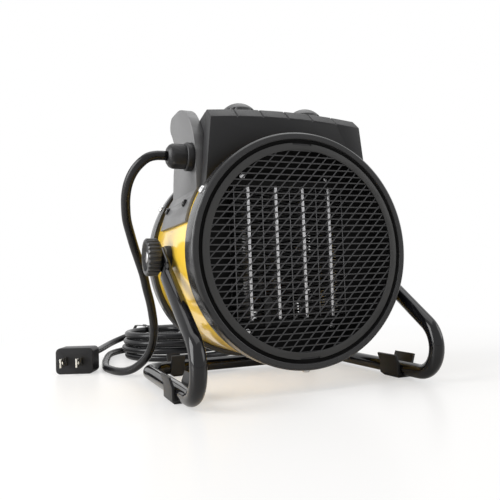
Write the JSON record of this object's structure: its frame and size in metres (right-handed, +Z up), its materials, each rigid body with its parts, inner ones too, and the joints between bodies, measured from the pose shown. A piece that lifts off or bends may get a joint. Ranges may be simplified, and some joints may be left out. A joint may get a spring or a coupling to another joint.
{
  "type": "portable_fan_heater",
  "caption": "Portable drum fan heater, yellow barrel with black rings and control box, tilting in a bent black tube stand, with two dials, a carry handle and a coiled mains cord",
  "frame": {"origin": "On the floor, under the middle of the object's box without its cord, coil and plug.", "axes": "+Z is up. The front grille faces -Y. +X is to the right as seen from the front."},
  "size_m": [0.3066, 0.4367, 0.2573],
  "materials": {
    "drum_yellow": "powder coat",
    "ring_black": "satin black paint",
    "mesh_black": "satin black paint",
    "stand_tube_black": "gloss black powder coat",
    "bracket_charcoal": "satin black powder coat",
    "box_charcoal": "satin black powder coat",
    "foot_plastic": "matt black",
    "handle_black": "soft matt black",
    "gland_black": "matt black nylon",
    "dial_black": "semi-gloss black",
    "switch_plastic": "matt",
    "pale_plastic": "natural nylon",
    "bright_steel": "zinc plated",
    "bar_bright": "bright",
    "fin_grey": "dull",
    "element_holder": "heat-proof moulding",
    "fan_grey": "mill finish",
    "motor_iron": "varnished laminations",
    "coil_copper": "enamelled copper",
    "wire_red": "silicone sleeve",
    "cord_black": "satin rubber",
    "tie_black": "matt",
    "plug_black": "moulded satin",
    "blade_nickel": "nickel plated"
  },
  "bodies": {
    "stand": {"stand_frame": "stand_tube_black", "arm_ends": "stand_tube_black", "foot_clips": "foot_plastic", "cord_drop": "cord_black", "cord_coil": "cord_black", "cord_lead": "cord_black", "coil_tie": "tie_black", "plug_body": "plug_black", "plug_relief": "plug_black", "plug_blades": "blade_nickel"},
    "drum": {"drum_shell": "drum_yellow", "front_ring": "ring_black", "grille_ring": "ring_black", "front_grille": "mesh_black", "rear_ring": "ring_black", "rear_grille": "mesh_black", "ring_screws": "bright_steel", "front_hood": "box_charcoal", "control_panel": "box_charcoal", "box_rear_cover": "box_charcoal", "box_cover_screws": "bright_steel", "left_bracket": "bracket_charcoal", "right_bracket": "bracket_charcoal", "bracket_screws": "bright_steel", "carry_handle": "handle_black", "gland_body": "gland_black", "gland_nut": "gland_black", "gland_locknut": "gland_black", "thermostat_body": "switch_plastic", "selector_switch_body": "switch_plastic", "terminal_block": "pale_plastic", "tip_over_switch": "switch_plastic", "inner_wiring": "wire_red", "supply_cable_end": "cord_black", "pivot_spacers": "foot_plastic", "pivot_washers": "pale_plastic", "pivot_nuts": "bright_steel", "baffle_plate": "mesh_black", "element_frame": "element_holder", "heater_bars": "bar_bright", "element_dividers": "bar_bright", "heat_fins": "fin_grey", "thermal_cutout": "bright_steel", "element_screws": "bright_steel", "motor_stack": "motor_iron", "motor_coil": "coil_copper", "motor_bearing_brackets": "bar_bright", "motor_mount": "mesh_black", "motor_screws": "bright_steel"},
    "left_clamp": {"left_clamp_knob": "dial_black", "left_clamp_bolt": "bright_steel"},
    "right_clamp": {"right_clamp_knob": "dial_black", "right_clamp_bolt": "bright_steel"},
    "thermostat_dial": {"thermostat_knob": "dial_black", "thermostat_spindle": "bright_steel"},
    "selector_dial": {"selector_knob": "dial_black", "selector_spindle": "bright_steel"},
    "fan": {"fan_wheel": "fan_grey", "fan_shaft": "bright_steel", "motor_rotor": "bar_bright"}
  },
  "joints": [
    {"name": "drum_tilt", "type": "hinge", "parent": "stand", "child": "drum", "pos_m": [0, 0.01535, 0.1182], "axis": [1, 0, 0], "range_deg": [-5, 14], "deforming": ["cord_drop"]},
    {"name": "left_clamp_turn", "type": "hinge", "parent": "drum", "child": "left_clamp", "pos_m": [-0.113, 0.01535, 0.1182], "axis": [-1, 0, 0], "range_deg": [0, 360]},
    {"name": "right_clamp_turn", "type": "hinge", "parent": "drum", "child": "right_clamp", "pos_m": [0.113, 0.01535, 0.1182], "axis": [1, 0, 0], "range_deg": [0, 360]},
    {"name": "thermostat_turn", "type": "hinge", "parent": "drum", "child": "thermostat_dial", "pos_m": [-0.034, -0.00515, 0.2399], "axis": [0, -0.1908, -0.9816], "range_deg": [0, 270]},
    {"name": "selector_turn", "type": "hinge", "parent": "drum", "child": "selector_dial", "pos_m": [0.034, -0.00515, 0.2399], "axis": [0, -0.1908, -0.9816], "range_deg": [0, 135]},
    {"name": "fan_spin", "type": "hinge", "parent": "drum", "child": "fan", "pos_m": [0, 0.04735, 0.1182], "axis": [0, 1, 0], "continuous": true}
  ]
}
